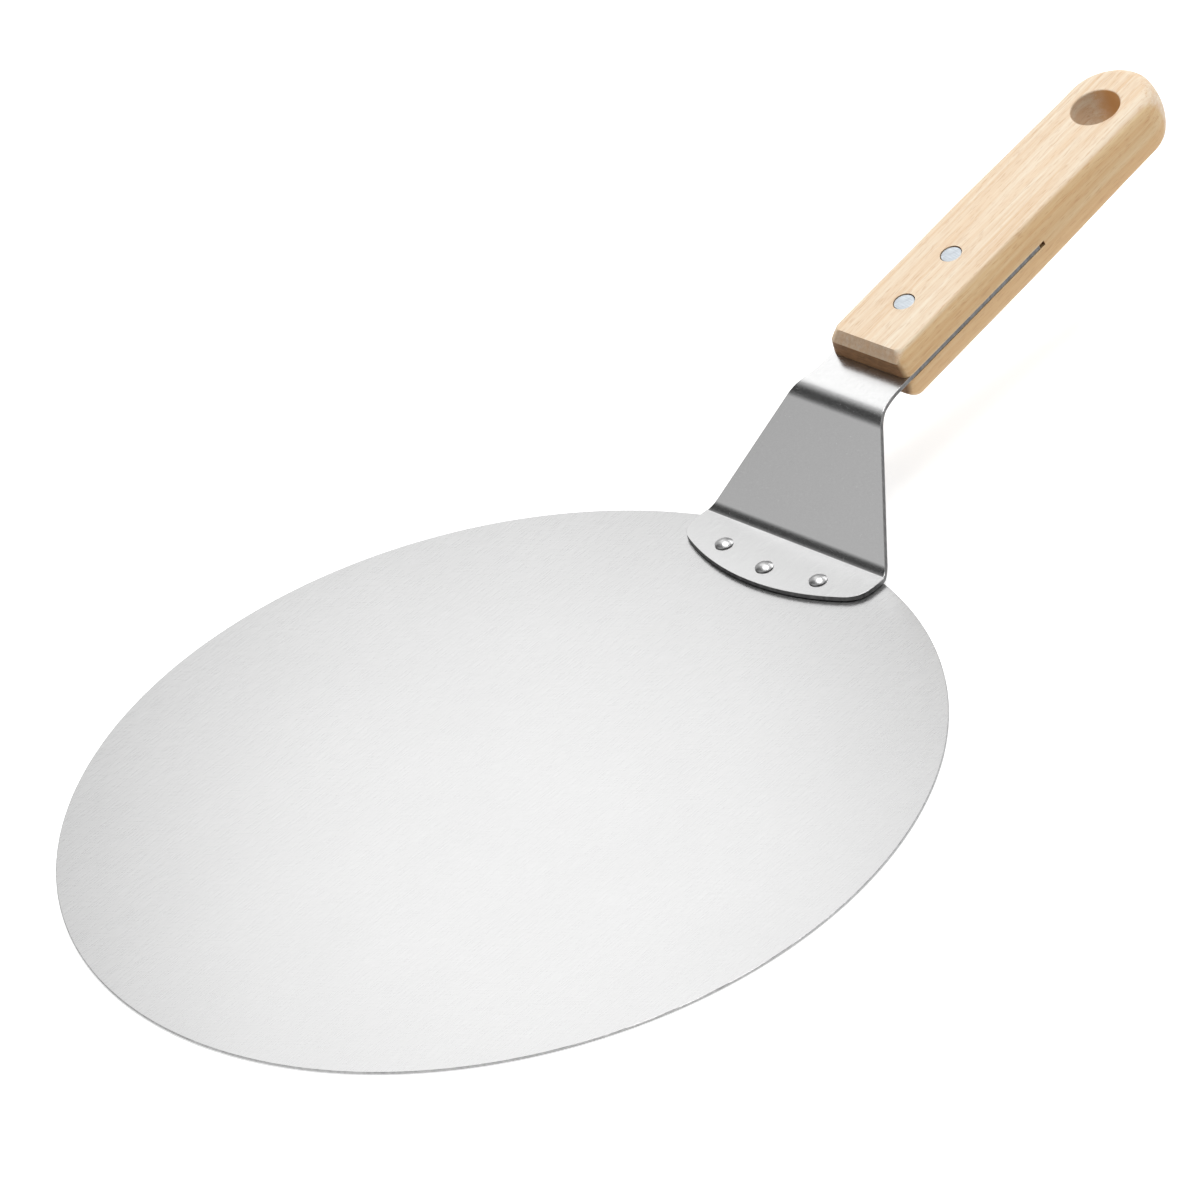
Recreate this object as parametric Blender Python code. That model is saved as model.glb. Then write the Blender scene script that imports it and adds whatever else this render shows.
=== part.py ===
"""Round pizza peel: a thin steel blade riveted to a folded steel bracket with a wooden handle.

Frame: metres, +Z up, origin at the centre of the blade's underside. The blade's leading edge
is at -Y, and the handle points along +Y and rises.
"""
import math

import bmesh
import bpy
from mathutils import Matrix

# Gap left between neighbouring solids
GAP = 0.0003

# Blade: a flat round sheet
BLADE_RADIUS = 0.127
BLADE_THICKNESS = 0.0008
BLADE_SEGMENTS = 144

# Offset bracket: flange, ramp, neck and tang folded from one sheet. Widths are half widths.
SHEET_THICKNESS = 0.0014
FLANGE_FRONT_Y = 0.1028
FLANGE_ARC_RADIUS = 0.072
FLANGE_CORNER_RADIUS = 0.008
FLANGE_HALF_WIDTH = 0.0355
BEND_1_Y = 0.1237
BEND_1_RADIUS = 0.0032
BEND_1_HALF_WIDTH = 0.0345
BEND_2_Y = 0.1502
BEND_2_Z = 0.0348
BEND_2_RADIUS = 0.0094
BEND_2_HALF_WIDTH = 0.0172
NECK_LENGTH = 0.0144
TANG_LENGTH = 0.0602
TANG_HALF_WIDTH = 0.0149

# Blade rivets: domed heads on the flange, flush countersunk tails in the blade
BLADE_RIVET_EDGE_DISTANCE = 0.0067
BLADE_RIVET_SPREAD = math.radians(16.7)
BLADE_RIVET_SHANK_RADIUS = 0.0015
BLADE_RIVET_TAIL_RADIUS = 0.0023
BLADE_RIVET_HEAD_RADIUS = 0.0027
BLADE_RIVET_HEAD_HEIGHT = 0.0012

# Handle: measured along its own axis from its front face, which rises by the tilt
HANDLE_TILT = math.radians(9.2)
HANDLE_LENGTH = 0.1270
HANDLE_WIDTH = 0.0302
HANDLE_THICKNESS = 0.018
HANDLE_SIDE_INSET = 0.0021
HANDLE_EDGE_RADIUS = 0.0012
HANDLE_CHAMFER_LENGTH = 0.0024
HANDLE_CHAMFER_DEPTH = 0.0032
HANDLE_CORNER_RADIUS = 0.0025
KERF_LENGTH = 0.0622
HANGING_HOLE_Y = 0.1075
HANGING_HOLE_RADIUS = 0.0075

# Handle rivets: flat heads in counterbores on both faces
HANDLE_RIVET_YS = (0.0195, 0.0409)
HANDLE_RIVET_HEAD_RADIUS = 0.0030
HANDLE_RIVET_HEAD_DEPTH = 0.0025
HANDLE_RIVET_SHANK_RADIUS = 0.0020
HANDLE_RIVET_EDGE = 0.0002

# Sides of the turned pieces and round cutters
RIVET_SEGMENTS = 20
HANGING_HOLE_SEGMENTS = 40

# Overshoot of a cutter past the face that it cuts
CUT_MARGIN = 0.002

SMOOTH_ANGLE = math.radians(28)

# Neighbouring faces of the bracket that turn less than this become one flat face
FLAT_ANGLE = math.radians(0.1)

SHEET_MIDDLE_Z = BLADE_THICKNESS + GAP + SHEET_THICKNESS / 2
FLANGE_ARC_Y = FLANGE_FRONT_Y + FLANGE_ARC_RADIUS
RAMP_ANGLE = math.atan2(BEND_2_Z - SHEET_MIDDLE_Z, BEND_2_Y - BEND_1_Y)
RAMP_LENGTH = math.hypot(BEND_2_Z - SHEET_MIDDLE_Z, BEND_2_Y - BEND_1_Y)
BEND_1_SETBACK = BEND_1_RADIUS * math.tan(RAMP_ANGLE / 2)
BEND_2_SETBACK = BEND_2_RADIUS * math.tan((RAMP_ANGLE - HANDLE_TILT) / 2)


def clear_scene():
    for thing in list(bpy.data.objects):
        bpy.data.objects.remove(thing, do_unlink=True)


def material(name, color, roughness, metallic):
    result = bpy.data.materials.new(name)
    result.use_nodes = True
    shader = result.node_tree.nodes["Principled BSDF"]
    shader.inputs["Base Color"].default_value = (*color, 1.0)
    shader.inputs["Roughness"].default_value = roughness
    shader.inputs["Metallic"].default_value = metallic
    return result


def brushed_steel():
    return material("brushed_steel", (0.70, 0.70, 0.70), 0.35, 1.0)


def polished_steel():
    return material("polished_steel", (0.75, 0.75, 0.75), 0.20, 1.0)


def pale_wood():
    return material("pale_wood", (0.80, 0.62, 0.42), 0.55, 0.0)


def soft_aluminium():
    return material("soft_aluminium", (0.78, 0.80, 0.83), 0.40, 1.0)


def new_object(name, bm, finish=None):
    """Turn a bmesh into a linked object with outward faces and smooth round stretches."""
    bmesh.ops.recalc_face_normals(bm, faces=bm.faces)
    mesh = bpy.data.meshes.new(name)
    bm.to_mesh(mesh)
    bm.free()
    mesh.shade_smooth()
    mesh.set_sharp_from_angle(angle=SMOOTH_ANGLE)
    thing = bpy.data.objects.new(name, mesh)
    bpy.context.collection.objects.link(thing)
    if finish:
        mesh.materials.append(finish)
    return thing


def skin_loops(bm, loops):
    """Join closed point loops of equal length with side faces, and return their vertex rings."""
    rings = [[bm.verts.new(point) for point in loop] for loop in loops]
    for lower, upper in zip(rings, rings[1:]):
        for i in range(len(lower)):
            j = (i + 1) % len(lower)
            bm.faces.new((lower[i], lower[j], upper[j], upper[i]))
    return rings


def cap_flat(bm, rings):
    """Close both ends of a skin whose end rings are flat."""
    bm.faces.new(reversed(rings[0]))
    bm.faces.new(rings[-1])


def cap_sheet_edge(bm, ring):
    """Close a sheet's end edge, which may curve: the ring runs out on top and back below."""
    for i in range(len(ring) // 2 - 1):
        bm.faces.new((ring[i], ring[i + 1], ring[-2 - i], ring[-1 - i]))


def turned(name, profile, segments, finish=None):
    """Turn a profile of (radius, height) points about Z, with a flat cap on both ends."""
    bm = bmesh.new()
    loops = []
    for radius, height in profile:
        turns = [math.tau * i / segments for i in range(segments)]
        loops.append([(radius * math.cos(a), radius * math.sin(a), height) for a in turns])
    cap_flat(bm, skin_loops(bm, loops))
    return new_object(name, bm, finish)


def as_cutter(thing):
    thing.hide_render = True
    thing.display_type = "WIRE"
    return thing


def cut(thing, cutter):
    boolean = thing.modifiers.new(cutter.name, "BOOLEAN")
    boolean.operation = "DIFFERENCE"
    boolean.solver = "EXACT"
    boolean.object = cutter


# ---------------------------------------------------------------- bracket

def bracket_runs():
    """Straight runs and bends of the sheet's middle surface, as (length, turn)."""
    return (
        (BEND_1_Y - FLANGE_FRONT_Y - BEND_1_SETBACK, 0.0),
        (BEND_1_RADIUS * RAMP_ANGLE, RAMP_ANGLE),
        (RAMP_LENGTH - BEND_1_SETBACK - BEND_2_SETBACK, 0.0),
        (BEND_2_RADIUS * (RAMP_ANGLE - HANDLE_TILT), HANDLE_TILT - RAMP_ANGLE),
        (NECK_LENGTH + TANG_LENGTH - BEND_2_SETBACK, 0.0),
    )


def bracket_point(distance):
    """Side view of the middle surface at a distance along the sheet: (y, z, heading)."""
    y, z, heading = FLANGE_FRONT_Y, SHEET_MIDDLE_Z, 0.0
    for length, turn in bracket_runs():
        step = min(distance, length)
        if turn:
            radius = length / turn
            end_heading = heading + turn * step / length
            y += radius * (math.sin(end_heading) - math.sin(heading))
            z -= radius * (math.cos(end_heading) - math.cos(heading))
            heading = end_heading
        else:
            y += step * math.cos(heading)
            z += step * math.sin(heading)
        distance -= step
        if distance <= 0:
            break
    return y, z, heading


def bracket_taper():
    """Where the straight taper starts and ends along the sheet, and its slope on one side."""
    flange, bend_1, ramp, bend_2, _ = (length for length, _ in bracket_runs())
    middle_1 = flange + bend_1 / 2
    middle_2 = flange + bend_1 + ramp + bend_2 / 2
    slope = (BEND_1_HALF_WIDTH - BEND_2_HALF_WIDTH) / (middle_2 - middle_1)
    start = middle_1 - (FLANGE_HALF_WIDTH - BEND_1_HALF_WIDTH) / slope
    return start, middle_2, slope


def bracket_half_width(distance):
    """Half width behind the flange's corners: a straight taper that eases into the tang."""
    start, end, slope = bracket_taper()
    if distance < end:
        return FLANGE_HALF_WIDTH - slope * max(0.0, distance - start)
    ease_length = 2 * (BEND_2_HALF_WIDTH - TANG_HALF_WIDTH) / slope
    left_to_go = max(0.0, 1 - (distance - end) / ease_length)
    return TANG_HALF_WIDTH + (BEND_2_HALF_WIDTH - TANG_HALF_WIDTH) * left_to_go ** 2


def flange_front_y(x):
    """The flange's front edge: one wide arc with a smaller arc at each corner."""
    corner_x = FLANGE_HALF_WIDTH - FLANGE_CORNER_RADIUS
    centre_distance = FLANGE_ARC_RADIUS - FLANGE_CORNER_RADIUS
    if abs(x) <= corner_x * FLANGE_ARC_RADIUS / centre_distance:
        return FLANGE_ARC_Y - math.sqrt(FLANGE_ARC_RADIUS ** 2 - x ** 2)
    corner_y = FLANGE_ARC_Y - math.sqrt(centre_distance ** 2 - corner_x ** 2)
    rise = FLANGE_CORNER_RADIUS ** 2 - (abs(x) - corner_x) ** 2
    return corner_y - math.sqrt(max(0.0, rise))


def bracket_stations():
    """Distances along the sheet that get a row of points, from the taper's start to the tang's end."""
    flange, bend_1, ramp, bend_2, tang = (length for length, _ in bracket_runs())
    bend_1_steps, bend_2_steps, neck_steps = 5, 10, 5
    taper_start, _, _ = bracket_taper()
    ramp_start = flange + bend_1
    bend_2_start = ramp_start + ramp
    tang_start = bend_2_start + bend_2
    neck = NECK_LENGTH - BEND_2_SETBACK
    stations = [taper_start]
    stations += [flange + bend_1 * i / bend_1_steps for i in range(bend_1_steps + 1)]
    stations += [bend_2_start + bend_2 * i / bend_2_steps for i in range(bend_2_steps + 1)]
    stations += [tang_start + neck * i / neck_steps for i in range(1, neck_steps + 1)]
    stations.append(tang_start + tang)
    return stations


def offset_bracket(finish):
    """Rows of points across the sheet, upper and lower, skinned into one folded plate."""
    columns = 28
    spread = [math.sin(math.pi * (i / columns - 0.5)) for i in range(columns + 1)]
    half_sheet = SHEET_THICKNESS / 2
    rows = []
    front_xs = [FLANGE_HALF_WIDTH * s for s in spread]
    rows.append([(x, flange_front_y(x), SHEET_MIDDLE_Z, 0.0) for x in front_xs])
    for distance in bracket_stations():
        y, z, heading = bracket_point(distance)
        half_width = bracket_half_width(distance)
        rows.append([(half_width * s, y, z, heading) for s in spread])

    bm = bmesh.new()
    loops = []
    for row in rows:
        upper = [(x, y - half_sheet * math.sin(a), z + half_sheet * math.cos(a))
                 for x, y, z, a in row]
        lower = [(x, y + half_sheet * math.sin(a), z - half_sheet * math.cos(a))
                 for x, y, z, a in row]
        loops.append(upper + lower[::-1])
    rings = skin_loops(bm, loops)
    cap_sheet_edge(bm, rings[0])
    cap_sheet_edge(bm, rings[-1])
    bmesh.ops.recalc_face_normals(bm, faces=bm.faces)
    bmesh.ops.dissolve_limit(bm, angle_limit=FLAT_ANGLE, verts=bm.verts, edges=bm.edges)
    return new_object("offset_bracket", bm, finish)


# ---------------------------------------------------------------- blade and its rivets

def blade(finish):
    profile = [(BLADE_RADIUS, 0.0), (BLADE_RADIUS, BLADE_THICKNESS)]
    return turned("blade", profile, BLADE_SEGMENTS, finish)


def blade_rivet_places():
    """The rivets' (side, x, y): an arc concentric with the flange's front edge."""
    radius = FLANGE_ARC_RADIUS - BLADE_RIVET_EDGE_DISTANCE
    for side, turn in (("left", -BLADE_RIVET_SPREAD), ("centre", 0.0), ("right", BLADE_RIVET_SPREAD)):
        yield side, radius * math.sin(turn), FLANGE_ARC_Y - radius * math.cos(turn)


def blade_rivet(name, finish):
    """Flush conical tail, shank and domed head, bottom to top."""
    seat = SHEET_MIDDLE_Z + SHEET_THICKNESS / 2 + GAP
    profile = [(BLADE_RIVET_TAIL_RADIUS, 0.0),
               (BLADE_RIVET_SHANK_RADIUS, BLADE_THICKNESS),
               (BLADE_RIVET_SHANK_RADIUS, seat)]
    height = BLADE_RIVET_HEAD_HEIGHT
    dome_radius = (BLADE_RIVET_HEAD_RADIUS ** 2 + height ** 2) / (2 * height)
    dome_angle = math.asin(BLADE_RIVET_HEAD_RADIUS / dome_radius)
    dome_steps = 6
    for i in range(dome_steps):
        angle = dome_angle * (1 - i / dome_steps)
        profile.append((dome_radius * math.sin(angle),
                        seat + height - dome_radius * (1 - math.cos(angle))))
    return turned(name, profile, RIVET_SEGMENTS, finish)


def blade_rivet_hole(name):
    """Cutter for blade and flange: countersink below, straight bore above."""
    slope = (BLADE_RIVET_TAIL_RADIUS - BLADE_RIVET_SHANK_RADIUS) / BLADE_THICKNESS
    mouth = BLADE_RIVET_TAIL_RADIUS + GAP + slope * CUT_MARGIN
    bore = BLADE_RIVET_SHANK_RADIUS + GAP
    profile = [(mouth, -CUT_MARGIN), (bore, BLADE_THICKNESS),
               (bore, SHEET_MIDDLE_Z + SHEET_THICKNESS + CUT_MARGIN)]
    return as_cutter(turned(name, profile, RIVET_SEGMENTS))


# ---------------------------------------------------------------- handle and its rivets

def handle_axis():
    """Empty at the middle of the handle's front face, with +Y along the handle."""
    axis = bpy.data.objects.new("handle_axis", None)
    bpy.context.collection.objects.link(axis)
    axis.location = (0.0,
                     BEND_2_Y + NECK_LENGTH * math.cos(HANDLE_TILT),
                     BEND_2_Z + NECK_LENGTH * math.sin(HANDLE_TILT))
    axis.rotation_euler = (HANDLE_TILT, 0.0, 0.0)
    return axis


def handle_loop(z):
    """The handle's outline at one height: chamfered front, straight sides, round rear."""
    half_thickness = HANDLE_THICKNESS / 2
    side_radius = (half_thickness ** 2 + HANDLE_SIDE_INSET ** 2) / (2 * HANDLE_SIDE_INSET)
    inset = side_radius - math.sqrt(side_radius ** 2 - z ** 2)
    into_edge = abs(z) - (half_thickness - HANDLE_EDGE_RADIUS)
    if into_edge > 0:
        rest = max(0.0, HANDLE_EDGE_RADIUS ** 2 - into_edge ** 2)
        inset += HANDLE_EDGE_RADIUS - math.sqrt(rest)
    into_chamfer = max(0.0, abs(z) - (half_thickness - HANDLE_CHAMFER_DEPTH))
    front = HANDLE_CHAMFER_LENGTH * into_chamfer / HANDLE_CHAMFER_DEPTH
    half_width = HANDLE_WIDTH / 2 - inset
    rear_y = HANDLE_LENGTH - HANDLE_WIDTH / 2
    corner = HANDLE_CORNER_RADIUS
    corner_steps, rear_steps = 4, 12
    half = [(half_width - corner + corner * math.sin(a), front + corner - corner * math.cos(a))
            for a in (math.pi / 2 * i / corner_steps for i in range(corner_steps + 1))]
    half += [(half_width * math.cos(a), rear_y + half_width * math.sin(a))
             for a in (math.pi / 2 * i / rear_steps for i in range(rear_steps + 1))]
    mirrored = [(-x, y) for x, y in reversed(half[:-1])]
    return [(x, y, z) for x, y in half + mirrored]


def handle(axis, finish):
    """Loops at rising heights, closer together where the edges round over."""
    half_thickness = HANDLE_THICKNESS / 2
    edge_start = half_thickness - HANDLE_EDGE_RADIUS
    edge_steps = 3
    heights = [0.0, half_thickness / 3, half_thickness - HANDLE_CHAMFER_DEPTH]
    heights += [edge_start + HANDLE_EDGE_RADIUS * math.sin(math.pi / 2 * i / edge_steps)
                for i in range(edge_steps + 1)]
    heights = [-z for z in reversed(heights[1:])] + heights
    bm = bmesh.new()
    cap_flat(bm, skin_loops(bm, [handle_loop(z) for z in heights]))
    result = new_object("handle", bm, finish)
    result.parent = axis
    return result


def kerf_cutter(axis):
    """The sawn slot for the tang: open at the front and on both sides."""
    bm = bmesh.new()
    length = KERF_LENGTH + CUT_MARGIN
    size = (HANDLE_WIDTH + 2 * CUT_MARGIN, length, SHEET_THICKNESS + 2 * GAP)
    bmesh.ops.create_cube(bm, size=1.0, matrix=Matrix.Diagonal((*size, 1.0)))
    result = as_cutter(new_object("kerf_cutter", bm))
    result.parent = axis
    result.location.y = KERF_LENGTH - length / 2
    return result


def hanging_hole_cutter(axis):
    reach = HANDLE_THICKNESS / 2 + CUT_MARGIN
    profile = [(HANGING_HOLE_RADIUS, -reach), (HANGING_HOLE_RADIUS, reach)]
    result = as_cutter(turned("hanging_hole_cutter", profile, HANGING_HOLE_SEGMENTS))
    result.parent = axis
    result.location.y = HANGING_HOLE_Y
    return result


def handle_rivet(name, axis, y, finish):
    """A headed pin through wood and tang, its heads just below the wood's faces."""
    top = HANDLE_THICKNESS / 2 - GAP
    neck = top - HANDLE_RIVET_HEAD_DEPTH
    upper = [(HANDLE_RIVET_SHANK_RADIUS, neck),
             (HANDLE_RIVET_HEAD_RADIUS, neck),
             (HANDLE_RIVET_HEAD_RADIUS, top - HANDLE_RIVET_EDGE),
             (HANDLE_RIVET_HEAD_RADIUS - HANDLE_RIVET_EDGE, top)]
    lower = [(radius, -height) for radius, height in reversed(upper)]
    result = turned(name, lower + upper, RIVET_SEGMENTS, finish)
    result.parent = axis
    result.location.y = y
    return result


def handle_rivet_hole(name, axis, y):
    """Cutter for wood and tang: a bore with a counterbore at both ends."""
    reach = HANDLE_THICKNESS / 2 + CUT_MARGIN
    shoulder = HANDLE_THICKNESS / 2 - HANDLE_RIVET_HEAD_DEPTH - 2 * GAP
    upper = [(HANDLE_RIVET_SHANK_RADIUS + GAP, shoulder),
             (HANDLE_RIVET_HEAD_RADIUS + GAP, shoulder),
             (HANDLE_RIVET_HEAD_RADIUS + GAP, reach)]
    lower = [(radius, -height) for radius, height in reversed(upper)]
    result = as_cutter(turned(name, lower + upper, RIVET_SEGMENTS))
    result.parent = axis
    result.location.y = y
    return result


def build():
    clear_scene()
    steel = brushed_steel()
    round_blade = blade(steel)
    bracket = offset_bracket(steel)

    rivet_steel = polished_steel()
    for side, x, y in blade_rivet_places():
        rivet = blade_rivet(f"blade_rivet_{side}", rivet_steel)
        hole = blade_rivet_hole(f"blade_rivet_hole_{side}")
        rivet.location = hole.location = (x, y, 0.0)
        cut(round_blade, hole)
        cut(bracket, hole)

    axis = handle_axis()
    grip = handle(axis, pale_wood())
    cut(grip, kerf_cutter(axis))
    cut(grip, hanging_hole_cutter(axis))
    pin_finish = soft_aluminium()
    for end, y in zip(("front", "rear"), HANDLE_RIVET_YS):
        handle_rivet(f"handle_rivet_{end}", axis, y, pin_finish)
        hole = handle_rivet_hole(f"handle_rivet_hole_{end}", axis, y)
        cut(grip, hole)
        cut(bracket, hole)


build()
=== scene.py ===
"""Looks of the round pizza peel: brushed steel blade and bracket, rivets and a wooden handle.

Frame: metres, +Z up, origin at the centre of the blade's underside. The blade's leading edge
is at -Y, and the handle points along +Y and rises.
"""

import math

import bmesh
import bpy
from mathutils import Matrix, Vector

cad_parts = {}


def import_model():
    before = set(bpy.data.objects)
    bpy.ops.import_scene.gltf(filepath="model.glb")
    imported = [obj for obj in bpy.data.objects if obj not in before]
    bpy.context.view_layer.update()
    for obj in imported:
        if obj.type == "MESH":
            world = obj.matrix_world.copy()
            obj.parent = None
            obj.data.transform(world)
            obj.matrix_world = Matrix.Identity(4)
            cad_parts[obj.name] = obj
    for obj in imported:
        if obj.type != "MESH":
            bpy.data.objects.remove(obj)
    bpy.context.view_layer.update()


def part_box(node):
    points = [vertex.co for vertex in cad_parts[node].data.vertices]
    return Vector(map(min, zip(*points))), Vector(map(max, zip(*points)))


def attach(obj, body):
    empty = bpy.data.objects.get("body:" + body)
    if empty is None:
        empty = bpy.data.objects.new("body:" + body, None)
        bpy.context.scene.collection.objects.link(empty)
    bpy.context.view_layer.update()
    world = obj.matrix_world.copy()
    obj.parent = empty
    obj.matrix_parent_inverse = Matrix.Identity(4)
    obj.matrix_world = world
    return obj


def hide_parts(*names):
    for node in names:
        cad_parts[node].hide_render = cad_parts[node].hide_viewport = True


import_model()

# Camera: where it stands around the peel, what it aims at, and its lens
CAMERA_AZIMUTH = math.radians(52.74)
CAMERA_ELEVATION = math.radians(34.17)
CAMERA_ROLL = math.radians(-14.66)
CAMERA_AIM = Vector((-0.0357, 0.0770, 0.0))
CAMERA_DISTANCE = 2.5645
CAMERA_LENS = 270.0
CAMERA_SENSOR = 36.0
CAMERA_CLIP_END = 50.0

# Blade
BLADE_SEGMENTS = 360
BLADE_EDGE_RADIUS = 0.0002
BLADE_EDGE_STEPS = 3

# Offset bracket: flange, ramp, neck and tang of one sheet. Widths are half widths.
SHEET_THICKNESS = 0.0014
SHEET_EDGE_RADIUS = 0.00026
SHEET_EDGE_STEPS = 3
SHEET_EDGE_ANGLE = math.radians(60)
FLANGE_ARC_RADIUS = 0.072
FLANGE_ARC_STEPS = 16
FLANGE_CORNER_RADIUS = 0.008
FLANGE_CORNER_STEPS = 12
BEND_1_Y = 0.1237
BEND_1_FIRST_RADIUS = 0.0012
BEND_1_FIRST_TURN = math.radians(25)
BEND_1_SECOND_RADIUS = 0.0080
BEND_1_HALF_WIDTH = 0.0345
BEND_2_Y = 0.1502
BEND_2_Z = 0.0348
BEND_2_RADIUS = 0.0094
BEND_2_HALF_WIDTH = 0.0172
NECK_LENGTH = 0.0144
TANG_LENGTH = 0.0602
TANG_HALF_WIDTH = 0.0149
BEND_STEPS = 20
NECK_STEPS = 8

# Blade rivets
RIVET_NODES = ("blade_rivet_left", "blade_rivet_centre", "blade_rivet_right")
RIVET_SEGMENTS = 64
RIVET_SHANK_RADIUS = 0.0015
RIVET_TAIL_RADIUS = 0.0024
RIVET_TAIL_GAP = 0.00005
RIVET_HEAD_EDGE = 0.00035
RIVET_DOME_STEPS = 14

# Handle: measured along its own axis from its front face
FRONT_RIVET_Y = 0.0195
HANDLE_LENGTH = 0.1270
HANDLE_WIDTH = 0.0302
HANDLE_THICKNESS = 0.018
HANDLE_SIDE_INSET = 0.0021
HANDLE_FRONT_EDGE_RADIUS = 0.0005
HANDLE_REAR_EDGE_RADIUS = 0.0024
HANDLE_EDGE_STEPS = 8
HANDLE_FADE_START = 0.45
HANDLE_CHAMFER_LENGTH = 0.0024
HANDLE_CHAMFER_DEPTH = 0.0032
HANDLE_CORNER_RADIUS = 0.0025
HANDLE_CORNER_STEPS = 8
HANDLE_SIDE_STEPS = 14
HANDLE_REAR_STEPS = 32
KERF_LENGTH = 0.0622
KERF_GAP = 0.0001
HANGING_HOLE_Y = 0.1075
HANGING_HOLE_RADIUS = 0.0075
HANGING_HOLE_EDGE = 0.0005
HANGING_HOLE_EDGE_STEPS = 5
HANGING_HOLE_SEGMENTS = 96

# Handle rivets, as flat heads just below the wood's faces
PIN_RADIUS = 0.00315
PIN_EDGE = 0.0002
PIN_EDGE_STEPS = 4
PIN_RECESS = 0.00025
PIN_HOLE_GAP = 0.00018
PIN_HEAD_DEPTH = 0.0025

# Wood colours
WOOD_FACE = (0.665, 0.58, 0.46, 1.0)
WOOD_GRAIN = (0.59, 0.435, 0.29, 1.0)
WOOD_BAND = (0.64, 0.45, 0.28, 1.0)
WOOD_FLECK = (0.54, 0.35, 0.22, 1.0)
WOOD_PORE = (0.42, 0.24, 0.13, 1.0)
# Painted shade, multiplied onto the handle's flanks
FLANK_PAINTED_SHADE = (0.86, 0.71, 0.47, 1.0)
# End grain, darkened further as painted shade on faces towards the front
SHADED_END_GRAIN_DARK = (0.150, 0.076, 0.031, 1.0)
SHADED_END_GRAIN_PALE = (0.225, 0.114, 0.047, 1.0)
SHADED_BORE_END_GRAIN = (0.52, 0.27, 0.10, 1.0)

# Wood: where the bore's end-grain colour, with its painted shade, starts along the handle, and where the
# painted shade on the flanks starts off its middle
WOOD_BORE_START = 0.095
FLANK_SHADE_START = 0.0126
FLANK_SHADE_FULL = 0.0136

# Brushed steel: brush strokes per metre across X, along Y and across Z
STROKES = (3600.0, 150.0, 3600.0)
CROSS_STROKES = (2400.0, 110.0, 2400.0)
CROSS_STROKE_TURN = math.radians(62)

# Studio: the surroundings' grey levels as (component of the direction, grey), then the floor and
# the lights. The blade mirrors the soft glow towards the camera.
SURROUNDINGS_ALONG_Y = ((-0.80, 1.18), (-0.65, 1.13), (-0.55, 0.08), (-0.22, 0.035), (-0.03, 0.85),
                        (0.25, 0.91), (0.50, 0.93))
SURROUNDINGS_ALONG_X = ((-0.20, 1.00), (0.60, 0.60))
FLOOR_SIZE = 14.0
FLOOR_GAP = 0.0002
FLOOR_GREY = 0.62
FLOOR_GLOW = 0.58
KEY_PLACE = (0.10, 0.50, 2.2)
KEY_AIM = (0.0, 0.08, 0.0)
KEY_SIZE = 1.5
KEY_POWER = 44.0
GLOW_PLACE = (-0.470, 0.345, 0.505)
GLOW_AIM = (0.123, -0.106, 0.0)
GLOW_SIZE = 0.35
GLOW_POWER = 0.40

CUT_MARGIN = 0.002
SMOOTH_ANGLE = math.radians(30)
FLAT_ANGLE = math.radians(0.05)


def centre(node):
    low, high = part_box(node)
    return (low + high) / 2


BLADE_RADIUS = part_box("blade")[1].x
BLADE_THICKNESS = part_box("blade")[1].z
FLANGE_FRONT_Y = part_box("offset_bracket")[0].y
FLANGE_HALF_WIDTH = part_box("offset_bracket")[1].x
FLANGE_UNDERSIDE_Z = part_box("offset_bracket")[0].z
FLANGE_ARC_Y = FLANGE_FRONT_Y + FLANGE_ARC_RADIUS
SHEET_MIDDLE_Z = FLANGE_UNDERSIDE_Z + SHEET_THICKNESS / 2
FLANGE_TOP_Z = FLANGE_UNDERSIDE_Z + SHEET_THICKNESS
HANDLE_DIRECTION = (centre("handle_rivet_rear") - centre("handle_rivet_front")).normalized()
HANDLE_TILT = math.asin(HANDLE_DIRECTION.z)
HANDLE_FRONT = centre("handle_rivet_front") - FRONT_RIVET_Y * HANDLE_DIRECTION
HANDLE_FRAME = Matrix.Translation(HANDLE_FRONT) @ Matrix.Rotation(HANDLE_TILT, 4, "X")
RAMP_ANGLE = math.atan2(BEND_2_Z - SHEET_MIDDLE_Z, BEND_2_Y - BEND_1_Y)
RAMP_LENGTH = math.hypot(BEND_2_Z - SHEET_MIDDLE_Z, BEND_2_Y - BEND_1_Y)
BEND_2_SETBACK = BEND_2_RADIUS * math.tan((RAMP_ANGLE - HANDLE_TILT) / 2)


# ---------------------------------------------------------------- mesh helpers

def new_object(name, bm, *finishes):
    """Turn a bmesh into an object of the scene, with its materials."""
    bmesh.ops.recalc_face_normals(bm, faces=bm.faces)
    mesh = bpy.data.meshes.new(name)
    bm.to_mesh(mesh)
    bm.free()
    thing = bpy.data.objects.new(name, mesh)
    bpy.context.scene.collection.objects.link(thing)
    for finish in finishes:
        mesh.materials.append(finish)
    return thing


def skin_loops(bm, loops):
    """Join closed point loops of equal length with side faces, and return their vertex rings."""
    rings = [[bm.verts.new(point) for point in loop] for loop in loops]
    for lower, upper in zip(rings, rings[1:]):
        for i in range(len(lower)):
            j = (i + 1) % len(lower)
            bm.faces.new((lower[i], lower[j], upper[j], upper[i]))
    return rings


def cap_flat(bm, rings):
    """Close the first and the last ring with one flat face each."""
    bm.faces.new(reversed(rings[0]))
    bm.faces.new(rings[-1])


def turned(name, profile, segments, *finishes):
    """Turn a profile of (radius, height) points about Z, with a flat cap on both ends."""
    bm = bmesh.new()
    loops = []
    for radius, height in profile:
        turns = [math.tau * i / segments for i in range(segments)]
        loops.append([(radius * math.cos(a), radius * math.sin(a), height) for a in turns])
    cap_flat(bm, skin_loops(bm, loops))
    return new_object(name, bm, *finishes)


def quarter(steps):
    """Angles from 0 to a quarter turn, both included."""
    return [math.pi / 2 * i / steps for i in range(steps + 1)]


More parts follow.
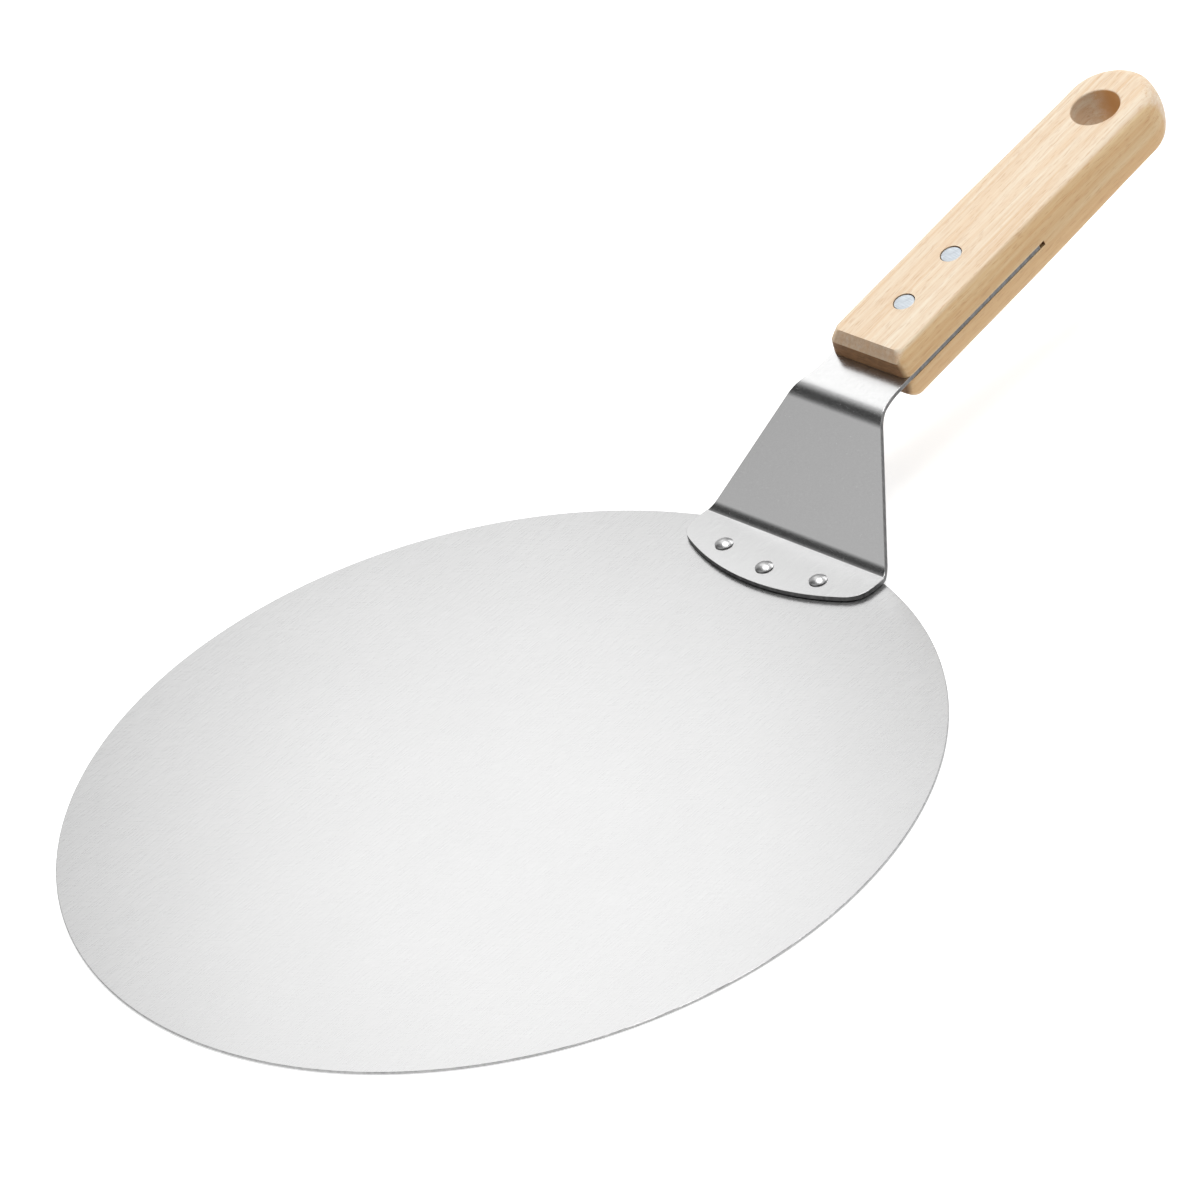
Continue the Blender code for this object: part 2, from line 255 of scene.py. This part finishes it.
def cut_away(thing, cutters):
    """Subtract the cutters from a piece for good, and delete them."""
    for cutter in cutters:
        boolean = thing.modifiers.new(cutter.name, "BOOLEAN")
        boolean.operation = "DIFFERENCE"
        boolean.solver = "EXACT"
        boolean.object = cutter
    apply_modifiers(thing)
    for cutter in cutters:
        bpy.data.objects.remove(cutter)


def apply_modifiers(thing):
    """Replace the mesh by what its modifiers make of it."""
    bpy.context.view_layer.update()
    graph = bpy.context.evaluated_depsgraph_get()
    mesh = bpy.data.meshes.new_from_object(thing.evaluated_get(graph))
    thing.modifiers.clear()
    thing.data = mesh


def bevel(thing, width, segments, angle):
    """Round every edge sharper than the angle, in the piece's first material."""
    modifier = thing.modifiers.new("edge_rounding", "BEVEL")
    modifier.width = width
    modifier.segments = segments
    modifier.limit_method = "ANGLE"
    modifier.angle_limit = angle
    modifier.material = 0
    apply_modifiers(thing)


def shade(thing):
    """Smooth round stretches, crisp corners and flat faces that stay flat."""
    thing.data.shade_smooth()
    thing.data.set_sharp_from_angle(angle=SMOOTH_ANGLE)
    modifier = thing.modifiers.new("flat_faces", "WEIGHTED_NORMAL")
    modifier.keep_sharp = True
    modifier.weight = 100


def finished(piece, node):
    """Shade a piece, and say what it rides on, which node it replaces."""
    shade(piece)
    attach(piece, "root")
    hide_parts(node)


# ---------------------------------------------------------------- material helpers

class Nodes:
    """A material's node tree, with one short call for each kind of node."""

    def __init__(self, name):
        self.material = bpy.data.materials.new(name)
        self.material.use_nodes = True
        self.tree = self.material.node_tree
        self.shader = self.tree.nodes["Principled BSDF"]
        self.coordinates = self.tree.nodes.new("ShaderNodeTexCoord")

    def add(self, kind, inputs=(), **settings):
        node = self.tree.nodes.new(kind)
        for setting, value in settings.items():
            setattr(node, setting, value)
        for socket, value in dict(inputs).items():
            self.feed(node.inputs[socket], value)
        return node

    def feed(self, socket, value):
        if isinstance(value, bpy.types.NodeSocket):
            self.tree.links.new(value, socket)
        else:
            socket.default_value = value

    def noise(self, per_metre, turn=0.0, detail=2.0, roughness=0.5, distortion=0.0):
        """Noise with so many cells per metre along X, Y and Z, after a turn about Z."""
        turned_place = self.add("ShaderNodeVectorRotate", {
            "Vector": self.coordinates.outputs["Object"], "Angle": turn}, rotation_type="Z_AXIS")
        cells = self.add("ShaderNodeVectorMath", {
            0: turned_place.outputs[0], 1: per_metre}, operation="MULTIPLY")
        return self.add("ShaderNodeTexNoise", {
            "Vector": cells.outputs[0], "Scale": 1.0, "Detail": detail,
            "Roughness": roughness, "Distortion": distortion}).outputs["Fac"]

    def remap(self, value, from_low, from_high, to_low=0.0, to_high=1.0):
        return self.add("ShaderNodeMapRange", {
            "Value": value, "From Min": from_low, "From Max": from_high,
            "To Min": to_low, "To Max": to_high}).outputs["Result"]

    def math(self, operation, first, second):
        return self.add("ShaderNodeMath", {0: first, 1: second}, operation=operation).outputs[0]

    def blend(self, factor, first, second, mode="MIX"):
        node = self.add("ShaderNodeMix", data_type="RGBA", blend_type=mode)
        for index, value in ((0, factor), (6, first), (7, second)):
            self.feed(node.inputs[index], value)
        return node.outputs[2]

    def bump(self, height, distance, strength):
        return self.add("ShaderNodeBump", {
            "Height": height, "Distance": distance, "Strength": strength}).outputs["Normal"]

    def set(self, **inputs):
        """Feed the shader's inputs, named by their sockets in lower case with underscores."""
        for name, value in inputs.items():
            socket = name.replace("_", " ").title().replace("Ior", "IOR")
            self.feed(self.shader.inputs[socket], value)


def grey(value):
    return (value, value, value, 1.0)


# ---------------------------------------------------------------- metal

def brushed_steel(name, darker, lighter, smoothest, roughest):
    """Sheet steel with short fine brush strokes along Y, crossed by a few fainter ones."""
    nodes = Nodes(name)
    along = nodes.noise(STROKES, detail=3.0, roughness=0.6)
    crossing = nodes.noise(CROSS_STROKES, CROSS_STROKE_TURN, detail=3.0, roughness=0.6)
    cloud = nodes.noise((26.0, 26.0, 26.0))
    strokes = nodes.math("ADD", nodes.math("MULTIPLY", along, 0.7), nodes.math("MULTIPLY", crossing, 0.3))
    colour = nodes.blend(nodes.remap(strokes, 0.26, 0.74), grey(darker), grey(lighter))
    colour = nodes.blend(nodes.remap(cloud, 0.35, 0.65, 0.0, 0.12), colour, grey(darker))
    nodes.set(base_color=colour, metallic=1.0)
    nodes.set(roughness=nodes.remap(strokes, 0.3, 0.7, smoothest, roughest))
    nodes.set(normal=nodes.bump(strokes, 0.000004, 0.35))
    return nodes.material


def shaded_cut_edge_steel():
    """The sheared edge of the sheet: rougher, with marks from the die, and darker partly for the sheared
    steel and partly as painted shade.
    """
    nodes = Nodes("shaded_cut_edge_steel")
    marks = nodes.noise((900.0, 900.0, 160.0), detail=3.0)
    # Partly painted shade: the edge's grey is kept far below the sheet's faces
    nodes.set(base_color=nodes.blend(nodes.remap(marks, 0.3, 0.7), grey(0.10), grey(0.20)))
    nodes.set(metallic=1.0, roughness=nodes.remap(marks, 0.3, 0.7, 0.40, 0.55))
    nodes.set(normal=nodes.bump(marks, 0.00002, 0.5))
    return nodes.material


def shaded_rim_steel():
    """The blade's deburred rim, a little darker than its faces: a painted dark reflection along the
    rounded edge.
    """
    nodes = Nodes("shaded_rim_steel")
    marks = nodes.noise((900.0, 900.0, 400.0), detail=3.0)
    # Painted dark reflection: the rim is greyer than the blade's faces
    nodes.set(base_color=nodes.blend(nodes.remap(marks, 0.3, 0.7), grey(0.30), grey(0.42)))
    nodes.set(metallic=1.0, roughness=nodes.remap(marks, 0.3, 0.7, 0.30, 0.42))
    nodes.set(normal=nodes.bump(marks, 0.00001, 0.4))
    return nodes.material


def polished_steel():
    """Rivet heads: bright, with the faint unevenness left by the rivet set."""
    nodes = Nodes("polished_steel")
    dents = nodes.noise((900.0, 900.0, 900.0))
    scuffs = nodes.noise((4000.0, 4000.0, 4000.0), detail=3.0)
    nodes.set(base_color=nodes.blend(scuffs, grey(0.36), grey(0.44)), metallic=1.0)
    nodes.set(roughness=nodes.remap(scuffs, 0.3, 0.7, 0.32, 0.40))
    nodes.set(normal=nodes.bump(dents, 0.00004, 0.35))
    return nodes.material


def soft_aluminium():
    """Handle rivets: satin faces with a pale blue cast and fine scratches both ways."""
    nodes = Nodes("soft_aluminium")
    first = nodes.noise((3000.0, 300.0, 300.0), turn=0.6)
    second = nodes.noise((300.0, 3000.0, 300.0), turn=0.2)
    scratches = nodes.math("MULTIPLY", first, second)
    tone = nodes.remap(scratches, 0.12, 0.40)
    nodes.set(base_color=nodes.blend(tone, (0.36, 0.39, 0.42, 1.0), (0.475, 0.51, 0.54, 1.0)))
    nodes.set(metallic=0.85, roughness=nodes.remap(tone, 0.0, 1.0, 0.5, 0.38))
    nodes.set(normal=nodes.bump(scratches, 0.00001, 0.5))
    return nodes.material


# ---------------------------------------------------------------- wood

def pale_wood():
    """Fine-pored pale hardwood: grain along the handle, painted shade on the flanks, and end grain
    darkened further by painted shade.
    """
    nodes = Nodes("pale_wood")
    place = nodes.add("ShaderNodeSeparateXYZ", {"Vector": nodes.coordinates.outputs["Object"]})
    streaks = nodes.noise((620.0, 14.0, 620.0), detail=5.0, roughness=0.65, distortion=0.3)
    pores = nodes.remap(nodes.noise((3400.0, 260.0, 3400.0), detail=1.0, roughness=0.4), 0.60, 0.70)

    colour = long_grain(nodes, streaks, pores)
    # Painted shade: the flanks are darkened and warmed away from the handle's middle
    off_middle = nodes.math("ABSOLUTE", place.outputs["X"], 0.0)
    flank_shade = nodes.remap(off_middle, FLANK_SHADE_START, FLANK_SHADE_FULL, 0.0, 0.85)
    colour = nodes.blend(flank_shade, colour, FLANK_PAINTED_SHADE, "MULTIPLY")
    # End grain with painted shade on the faces towards the front
    colour = nodes.blend(facing_front(nodes), colour, end_grain_and_shade(nodes, place))

    nodes.set(base_color=colour, roughness=nodes.remap(streaks, 0.3, 0.7, 0.56, 0.66))
    nodes.set(specular_ior_level=0.3)
    relief = nodes.math("SUBTRACT", streaks, nodes.math("MULTIPLY", pores, 0.8))
    nodes.set(normal=nodes.bump(relief, 0.00005, 0.6))
    return nodes.material


def long_grain(nodes, streaks, pores):
    """The colour along the grain: fine streaks, broad bands, short flecks and dark pores."""
    bands = nodes.noise((90.0, 4.0, 120.0), distortion=1.0)
    flecks = nodes.noise((1300.0, 130.0, 1300.0))
    colour = nodes.blend(nodes.remap(streaks, 0.36, 0.64), WOOD_GRAIN, WOOD_FACE)
    colour = nodes.blend(nodes.remap(bands, 0.46, 0.68, 0.0, 0.45), colour, WOOD_BAND)
    colour = nodes.blend(nodes.remap(flecks, 0.58, 0.70, 0.0, 0.30), colour, WOOD_FLECK)
    return nodes.blend(nodes.math("MULTIPLY", pores, 0.36), colour, WOOD_PORE)


def facing_front(nodes):
    """How far the surface faces the handle's front, where the grain is cut across and where painted shade
    goes.
    """
    normal = nodes.add("ShaderNodeSeparateXYZ", {"Vector": nodes.coordinates.outputs["Normal"]})
    return nodes.remap(nodes.math("MULTIPLY", normal.outputs["Y"], -1.0), 0.58, 0.98)


def end_grain_and_shade(nodes, place):
    """The colour of grain cut across, darkened further as painted shade: darkest on the front face and
    redder in the bore.
    """
    rings = nodes.noise((300.0, 300.0, 1100.0), detail=3.0, roughness=0.6, distortion=0.6)
    colour = nodes.blend(nodes.remap(rings, 0.35, 0.65), SHADED_END_GRAIN_DARK, SHADED_END_GRAIN_PALE)
    in_bore = nodes.math("GREATER_THAN", place.outputs["Y"], WOOD_BORE_START)
    return nodes.blend(in_bore, colour, SHADED_BORE_END_GRAIN)


# ---------------------------------------------------------------- blade and its rivets

def blade(face, rim):
    """A thin disc with a fine round on both edges; the rivets' countersinks are cut below."""
    edge = BLADE_EDGE_RADIUS
    corner = [(BLADE_RADIUS - edge + edge * math.sin(a), edge - edge * math.cos(a))
              for a in quarter(BLADE_EDGE_STEPS)]
    profile = corner + [(radius, BLADE_THICKNESS - height) for radius, height in reversed(corner)]
    disc = turned("brushed_blade", profile, BLADE_SEGMENTS, face, rim)
    for polygon in disc.data.polygons:
        around_the_rim = len(polygon.vertices) == 4
        if around_the_rim:
            polygon.material_index = 1
    cut_away(disc, [countersink(centre(node)) for node in RIVET_NODES])
    finished(disc, "blade")


def countersink(place):
    slope = (RIVET_TAIL_RADIUS - RIVET_SHANK_RADIUS) / BLADE_THICKNESS
    mouth = RIVET_TAIL_RADIUS + RIVET_TAIL_GAP
    profile = [(mouth + slope * CUT_MARGIN, -CUT_MARGIN), (mouth, 0.0),
               (RIVET_SHANK_RADIUS + RIVET_TAIL_GAP, BLADE_THICKNESS + CUT_MARGIN)]
    cutter = turned("countersink", profile, RIVET_SEGMENTS)
    cutter.location = (place.x, place.y, 0.0)
    return cutter


def domed_rivet(name, node, finish):
    """Flush tail, shank and a low domed head with a short upright edge, seated on the flange."""
    low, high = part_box(node)
    head_radius = (high.x - low.x) / 2
    head_height = high.z - FLANGE_TOP_Z - RIVET_HEAD_EDGE
    dome_radius = (head_radius ** 2 + head_height ** 2) / (2 * head_height)
    dome_angle = math.asin(head_radius / dome_radius)
    profile = [(RIVET_TAIL_RADIUS, 0.0),
               (RIVET_SHANK_RADIUS, BLADE_THICKNESS),
               (RIVET_SHANK_RADIUS, FLANGE_TOP_Z),
               (head_radius - RIVET_HEAD_EDGE / 2, FLANGE_TOP_Z),
               (head_radius, FLANGE_TOP_Z + RIVET_HEAD_EDGE / 2)]
    for i in range(RIVET_DOME_STEPS):
        angle = dome_angle * (1 - i / RIVET_DOME_STEPS)
        profile.append((dome_radius * math.sin(angle),
                        high.z - dome_radius * (1 - math.cos(angle))))
    rivet = turned(name, profile, RIVET_SEGMENTS, finish)
    place = centre(node)
    rivet.location = (place.x, place.y, 0.0)
    finished(rivet, node)


# ---------------------------------------------------------------- bracket

def bend_1_setbacks():
    """How far the first bend reaches from its corner along the flange and along the ramp."""
    first_turn = BEND_1_FIRST_TURN
    second_turn = RAMP_ANGLE - first_turn
    first = BEND_1_FIRST_RADIUS * math.tan(first_turn / 2)
    second = BEND_1_SECOND_RADIUS * math.tan(second_turn / 2)
    between = (first + second) / math.sin(RAMP_ANGLE)
    return first + between * math.sin(second_turn), second + between * math.sin(first_turn)


def bracket_runs():
    """Straight runs and bends of the sheet's middle surface, as (length, turn).

    The first bend is tight where it leaves the flange and opens towards the ramp.
    """
    before, after = bend_1_setbacks()
    second_turn = RAMP_ANGLE - BEND_1_FIRST_TURN
    return (
        (BEND_1_Y - FLANGE_FRONT_Y - before, 0.0),
        (BEND_1_FIRST_RADIUS * BEND_1_FIRST_TURN, BEND_1_FIRST_TURN),
        (BEND_1_SECOND_RADIUS * second_turn, second_turn),
        (RAMP_LENGTH - after - BEND_2_SETBACK, 0.0),
        (BEND_2_RADIUS * (RAMP_ANGLE - HANDLE_TILT), HANDLE_TILT - RAMP_ANGLE),
        (NECK_LENGTH + TANG_LENGTH - BEND_2_SETBACK, 0.0),
    )


def bracket_point(distance):
    """Side view of the middle surface at a distance along the sheet: (y, z, heading)."""
    y, z, heading = FLANGE_FRONT_Y, SHEET_MIDDLE_Z, 0.0
    for length, turn in bracket_runs():
        step = min(distance, length)
        if turn:
            radius = length / turn
            end_heading = heading + turn * step / length
            y += radius * (math.sin(end_heading) - math.sin(heading))
            z -= radius * (math.cos(end_heading) - math.cos(heading))
            heading = end_heading
        else:
            y += step * math.cos(heading)
            z += step * math.sin(heading)
        distance -= step
        if distance <= 0:
            break
    return y, z, heading


def bracket_taper():
    """Where the straight taper starts and ends along the sheet, and its slope on one side."""
    flange, tight, open_bend, ramp, bend_2, _ = (length for length, _ in bracket_runs())
    middle_1 = flange + (tight + open_bend) / 2
    middle_2 = flange + tight + open_bend + ramp + bend_2 / 2
    slope = (BEND_1_HALF_WIDTH - BEND_2_HALF_WIDTH) / (middle_2 - middle_1)
    start = middle_1 - (FLANGE_HALF_WIDTH - BEND_1_HALF_WIDTH) / slope
    return start, middle_2, slope


def bracket_half_width(distance):
    """Half width behind the flange's corners: a straight taper that eases into the tang."""
    start, end, slope = bracket_taper()
    if distance < end:
        return FLANGE_HALF_WIDTH - slope * max(0.0, distance - start)
    ease_length = 2 * (BEND_2_HALF_WIDTH - TANG_HALF_WIDTH) / slope
    left_to_go = max(0.0, 1 - (distance - end) / ease_length)
    return TANG_HALF_WIDTH + (BEND_2_HALF_WIDTH - TANG_HALF_WIDTH) * left_to_go ** 2


def flange_outline():
    """Half of the flange's front edge, from the middle: a wide arc, then the corner's arc."""
    corner_x = FLANGE_HALF_WIDTH - FLANGE_CORNER_RADIUS
    centre_distance = FLANGE_ARC_RADIUS - FLANGE_CORNER_RADIUS
    meeting = math.asin(corner_x / centre_distance)
    corner_y = FLANGE_ARC_Y - centre_distance * math.cos(meeting)
    half = [(FLANGE_ARC_RADIUS * math.sin(meeting * i / FLANGE_ARC_STEPS),
             FLANGE_ARC_Y - FLANGE_ARC_RADIUS * math.cos(meeting * i / FLANGE_ARC_STEPS))
            for i in range(FLANGE_ARC_STEPS)]
    for i in range(FLANGE_CORNER_STEPS + 1):
        angle = meeting + (math.pi / 2 - meeting) * i / FLANGE_CORNER_STEPS
        half.append((corner_x + FLANGE_CORNER_RADIUS * math.sin(angle),
                     corner_y - FLANGE_CORNER_RADIUS * math.cos(angle)))
    return half


def bracket_stations():
    """Distances along the sheet that get a row of points, from the taper's start to the end."""
    taper_start, _, _ = bracket_taper()
    stations = [taper_start]
    distance = 0.0
    for length, turn in bracket_runs():
        if turn:
            stations += [distance + length * i / BEND_STEPS for i in range(BEND_STEPS + 1)]
        distance += length
    neck = NECK_LENGTH - BEND_2_SETBACK
    neck_start = stations[-1]
    stations += [neck_start + neck * i / NECK_STEPS for i in range(1, NECK_STEPS + 1)]
    stations.append(distance)
    return sorted(set(stations))


def offset_bracket(face, cut_edge):
    """Rows of points across the folded sheet, upper and lower, with its cut edge rounded."""
    half_front = flange_outline()
    front = [(-x, y) for x, y in reversed(half_front[1:])] + half_front
    rows = [[(x, y, SHEET_MIDDLE_Z, 0.0) for x, y in front]]
    for distance in bracket_stations():
        y, z, heading = bracket_point(distance)
        half_width = bracket_half_width(distance)
        rows.append([(half_width * x / FLANGE_HALF_WIDTH, y, z, heading) for x, _ in front])

    half_sheet = SHEET_THICKNESS / 2
    bm = bmesh.new()
    loops = []
    for row in rows:
        upper = [(x, y - half_sheet * math.sin(a), z + half_sheet * math.cos(a))
                 for x, y, z, a in row]
        lower = [(x, y + half_sheet * math.sin(a), z - half_sheet * math.cos(a))
                 for x, y, z, a in row]
        loops.append(upper + lower[::-1])
    rings = skin_loops(bm, loops)
    for ring in (rings[0], rings[-1]):
        for i in range(len(front) - 1):
            bm.faces.new((ring[i], ring[i + 1], ring[-2 - i], ring[-1 - i]))
    bmesh.ops.recalc_face_normals(bm, faces=bm.faces)
    mark_cut_edge(bm)
    bmesh.ops.dissolve_limit(bm, angle_limit=FLAT_ANGLE, verts=bm.verts, edges=bm.edges,
                             delimit={"MATERIAL"})
    plate = new_object("folded_bracket", bm, face, cut_edge)
    bevel(plate, SHEET_EDGE_RADIUS, SHEET_EDGE_STEPS, SHEET_EDGE_ANGLE)
    finished(plate, "offset_bracket")


def mark_cut_edge(bm):
    """Give material 1 to the faces that run around the sheet, between its two sides."""
    for polygon in bm.faces:
        lengths = [edge.calc_length() for edge in polygon.edges]
        if any(math.isclose(length, SHEET_THICKNESS, rel_tol=0.001) for length in lengths):
            polygon.material_index = 1


# ---------------------------------------------------------------- handle and its rivets

def handle_outline():
    """Half outline stations from front to rear: (kind, angle, share of the way to the rear)."""
    stations = [("front", angle, 0.0) for angle in quarter(HANDLE_CORNER_STEPS)]
    stations += [("side", 0.0, i / HANDLE_SIDE_STEPS) for i in range(1, HANDLE_SIDE_STEPS)]
    stations += [("rear", angle, 1.0) for angle in quarter(HANDLE_REAR_STEPS)]
    return stations


def handle_loop(round_angle, height_share):
    """One closed loop of the handle's skin.

    Below the rounded edge height_share gives the height; on it round_angle gives the way round.
    """
    half_thickness = HANDLE_THICKNESS / 2
    side_radius = (half_thickness ** 2 + HANDLE_SIDE_INSET ** 2) / (2 * HANDLE_SIDE_INSET)
    rear_y = HANDLE_LENGTH - HANDLE_WIDTH / 2
    corner = HANDLE_CORNER_RADIUS
    half = []
    for kind, angle, share in handle_outline():
        late = max(0.0, (share - HANDLE_FADE_START) / (1 - HANDLE_FADE_START))
        ease = late * late * (3 - 2 * late)
        edge = HANDLE_FRONT_EDGE_RADIUS + (HANDLE_REAR_EDGE_RADIUS - HANDLE_FRONT_EDGE_RADIUS) * ease
        z = height_share * (half_thickness - edge) + edge * math.sin(round_angle)
        inset = side_radius - math.sqrt(side_radius ** 2 - z ** 2) + edge * (1 - math.cos(round_angle))
        half_width = HANDLE_WIDTH / 2 - inset
        into_chamfer = max(0.0, z - (half_thickness - HANDLE_CHAMFER_DEPTH))
        front = HANDLE_CHAMFER_LENGTH * into_chamfer / HANDLE_CHAMFER_DEPTH
        if kind == "front":
            x = half_width - corner + corner * math.sin(angle)
            y = front + corner - corner * math.cos(angle)
        elif kind == "side":
            x = half_width
            y = front + corner + (rear_y - front - corner) * share
        else:
            x = half_width * math.cos(angle)
            y = rear_y + half_width * math.sin(angle)
        half.append((x, y, z))
    mirrored = [(-x, y, z) for x, y, z in reversed(half[:-1])]
    return half + mirrored


def handle_rows():
    """The skin's loops from the middle plane up, as (way round the edge, share of the height)."""
    chamfer_start = HANDLE_THICKNESS / 2 - HANDLE_CHAMFER_DEPTH
    front_share = chamfer_start / (HANDLE_THICKNESS / 2 - HANDLE_FRONT_EDGE_RADIUS)
    rows = [(0.0, share) for share in (0.0, front_share / 3, front_share * 2 / 3, front_share)]
    rows.append((0.0, (1 + front_share) / 2))
    rows += [(angle, 1.0) for angle in quarter(HANDLE_EDGE_STEPS)]
    return rows


def wooden_handle(finish):
    """The handle's skin is built in its own frame, then sawn, bored and counterbored."""
    upper = [handle_loop(angle, share) for angle, share in handle_rows()]
    lower = [[(x, y, -z) for x, y, z in loop] for loop in reversed(upper[1:])]
    bm = bmesh.new()
    cap_flat(bm, skin_loops(bm, lower + upper))
    grip = new_object("wooden_handle", bm, finish)
    cutters = [kerf_cutter(), hanging_hole_cutter()]
    for node in ("handle_rivet_front", "handle_rivet_rear"):
        y = (centre(node) - HANDLE_FRONT).length
        cutters += [counterbore_cutter(y, face) for face in (-1, 1)]
    cut_away(grip, cutters)
    grip.matrix_world = HANDLE_FRAME
    finished(grip, "handle")


def kerf_cutter():
    """The sawn slot for the tang: open at the front and on both sides."""
    length = KERF_LENGTH + CUT_MARGIN
    size = (HANDLE_WIDTH + 2 * CUT_MARGIN, length, SHEET_THICKNESS + 2 * KERF_GAP)
    bm = bmesh.new()
    bmesh.ops.create_cube(bm, size=1.0, matrix=Matrix.Diagonal((*size, 1.0)))
    cutter = new_object("kerf_cutter", bm)
    cutter.location.y = KERF_LENGTH - length / 2
    return cutter


def hanging_hole_cutter():
    """A bore that flares over a small radius at both faces."""
    top = HANDLE_THICKNESS / 2
    edge = HANGING_HOLE_EDGE
    upper = [(HANGING_HOLE_RADIUS + edge * (1 - math.cos(a)), top - edge + edge * math.sin(a))
             for a in quarter(HANGING_HOLE_EDGE_STEPS)]
    upper.append((HANGING_HOLE_RADIUS + edge, top + CUT_MARGIN))
    lower = [(radius, -height) for radius, height in reversed(upper)]
    cutter = turned("hanging_hole_cutter", lower + upper, HANGING_HOLE_SEGMENTS)
    cutter.location.y = HANGING_HOLE_Y
    return cutter


def counterbore_cutter(y, face):
    """The seat of one rivet head; face is 1 for the handle's upper face and -1 for its lower."""
    radius = PIN_RADIUS + PIN_HOLE_GAP
    top = HANDLE_THICKNESS / 2
    heights = sorted((face * (top - PIN_RECESS - PIN_HEAD_DEPTH), face * (top + CUT_MARGIN)))
    cutter = turned("counterbore_cutter", [(radius, height) for height in heights], RIVET_SEGMENTS)
    cutter.location.y = y
    return cutter


def handle_pin(name, node, finish):
    """A rivet through the wood and the tang: a slim shank and two flat heads."""
    top = HANDLE_THICKNESS / 2 - PIN_RECESS
    neck = top - PIN_HEAD_DEPTH
    shank = PIN_RADIUS / 2
    upper = [(shank, neck), (PIN_RADIUS, neck)]
    upper += [(PIN_RADIUS - PIN_EDGE + PIN_EDGE * math.cos(a), top - PIN_EDGE + PIN_EDGE * math.sin(a))
              for a in quarter(PIN_EDGE_STEPS)]
    lower = [(radius, -height) for radius, height in reversed(upper)]
    pin = turned(name, lower + upper, RIVET_SEGMENTS, finish)
    pin.matrix_world = Matrix.Translation(centre(node)) @ Matrix.Rotation(HANDLE_TILT, 4, "X")
    finished(pin, node)


# ---------------------------------------------------------------- stage

def floor():
    """A pale matt floor that glows, so that shadows on it stay faint."""
    bpy.ops.mesh.primitive_plane_add(size=FLOOR_SIZE, location=(0.0, 0.0, -FLOOR_GAP))
    plane = bpy.context.object
    plane.name = "floor"
    nodes = Nodes("floor")
    nodes.set(base_color=grey(FLOOR_GREY), roughness=0.9)
    nodes.set(emission_color=grey(1.0), emission_strength=FLOOR_GLOW)
    plane.data.materials.append(nodes.material)


def world():
    """A bright room, dimmer on the right, with a dark strip in front and a bright wall past it."""
    sky = bpy.data.worlds.new("studio")
    bpy.context.scene.world = sky
    sky.use_nodes = True
    tree = sky.node_tree
    direction = tree.nodes.new("ShaderNodeTexCoord").outputs["Generated"]
    axes = tree.nodes.new("ShaderNodeSeparateXYZ")
    tree.links.new(direction, axes.inputs[0])
    front_to_back = grey_levels(tree, axes.outputs["Y"], SURROUNDINGS_ALONG_Y)
    left_to_right = grey_levels(tree, axes.outputs["X"], SURROUNDINGS_ALONG_X)
    product = tree.nodes.new("ShaderNodeMix")
    product.data_type = "RGBA"
    product.blend_type = "MULTIPLY"
    product.inputs[0].default_value = 1.0
    tree.links.new(front_to_back, product.inputs[6])
    tree.links.new(left_to_right, product.inputs[7])
    background = tree.nodes["Background"]
    tree.links.new(product.outputs[2], background.inputs["Color"])
    background.inputs["Strength"].default_value = 1.0


def grey_levels(tree, value, stops):
    """Grey levels along a direction's component, which runs from -1 to 1."""
    share = tree.nodes.new("ShaderNodeMapRange")
    tree.links.new(value, share.inputs["Value"])
    share.inputs["From Min"].default_value = -1.0
    levels = tree.nodes.new("ShaderNodeValToRGB")
    tree.links.new(share.outputs["Result"], levels.inputs["Fac"])
    elements = levels.color_ramp.elements
    for _ in stops[2:]:
        elements.new(0.5)
    for element, (component, level) in zip(elements, stops):
        element.position = (component + 1) / 2
        element.color = grey(level)
    return levels.outputs["Color"]


def area_light(name, place, aim, size, power):
    data = bpy.data.lights.new(name, "AREA")
    data.shape = "DISK"
    data.size = size
    data.energy = power
    light = bpy.data.objects.new(name, data)
    bpy.context.scene.collection.objects.link(light)
    light.location = place
    light.rotation_euler = (Vector(place) - Vector(aim)).to_track_quat("Z", "Y").to_euler()


def camera():
    """The camera stands at an azimuth and elevation, and is rolled about its line of sight."""
    toward = Vector((math.sin(CAMERA_AZIMUTH) * math.cos(CAMERA_ELEVATION),
                     -math.cos(CAMERA_AZIMUTH) * math.cos(CAMERA_ELEVATION),
                     math.sin(CAMERA_ELEVATION)))
    level_right = Vector((math.cos(CAMERA_AZIMUTH), math.sin(CAMERA_AZIMUTH), 0.0))
    level_up = toward.cross(level_right)
    right = math.cos(CAMERA_ROLL) * level_right + math.sin(CAMERA_ROLL) * level_up
    up = math.cos(CAMERA_ROLL) * level_up - math.sin(CAMERA_ROLL) * level_right
    data = bpy.data.cameras.new("camera")
    data.lens = CAMERA_LENS
    data.sensor_width = CAMERA_SENSOR
    data.clip_end = CAMERA_CLIP_END
    thing = bpy.data.objects.new("camera", data)
    bpy.context.scene.collection.objects.link(thing)
    axes = Matrix((right, up, toward)).transposed().to_4x4()
    thing.matrix_world = Matrix.Translation(CAMERA_AIM + CAMERA_DISTANCE * toward) @ axes
    bpy.context.scene.camera = thing


# ---------------------------------------------------------------- the scene

camera()
floor()
world()
area_light("key", KEY_PLACE, KEY_AIM, KEY_SIZE, KEY_POWER)
area_light("blade_glow", GLOW_PLACE, GLOW_AIM, GLOW_SIZE, GLOW_POWER)

blade_steel = brushed_steel("blade_steel", darker=0.40, lighter=0.515, smoothest=0.25, roughest=0.33)
blade(blade_steel, shaded_rim_steel())
bracket_steel = brushed_steel("bracket_steel", darker=0.41, lighter=0.515, smoothest=0.20, roughest=0.28)
offset_bracket(bracket_steel, shaded_cut_edge_steel())
rivet_steel = polished_steel()
for rivet_node in RIVET_NODES:
    domed_rivet(rivet_node.replace("blade_rivet", "domed_rivet"), rivet_node, rivet_steel)
wooden_handle(pale_wood())
aluminium = soft_aluminium()
handle_pin("handle_pin_front", "handle_rivet_front", aluminium)
handle_pin("handle_pin_rear", "handle_rivet_rear", aluminium)

bpy.context.scene.view_settings.view_transform = "Standard"
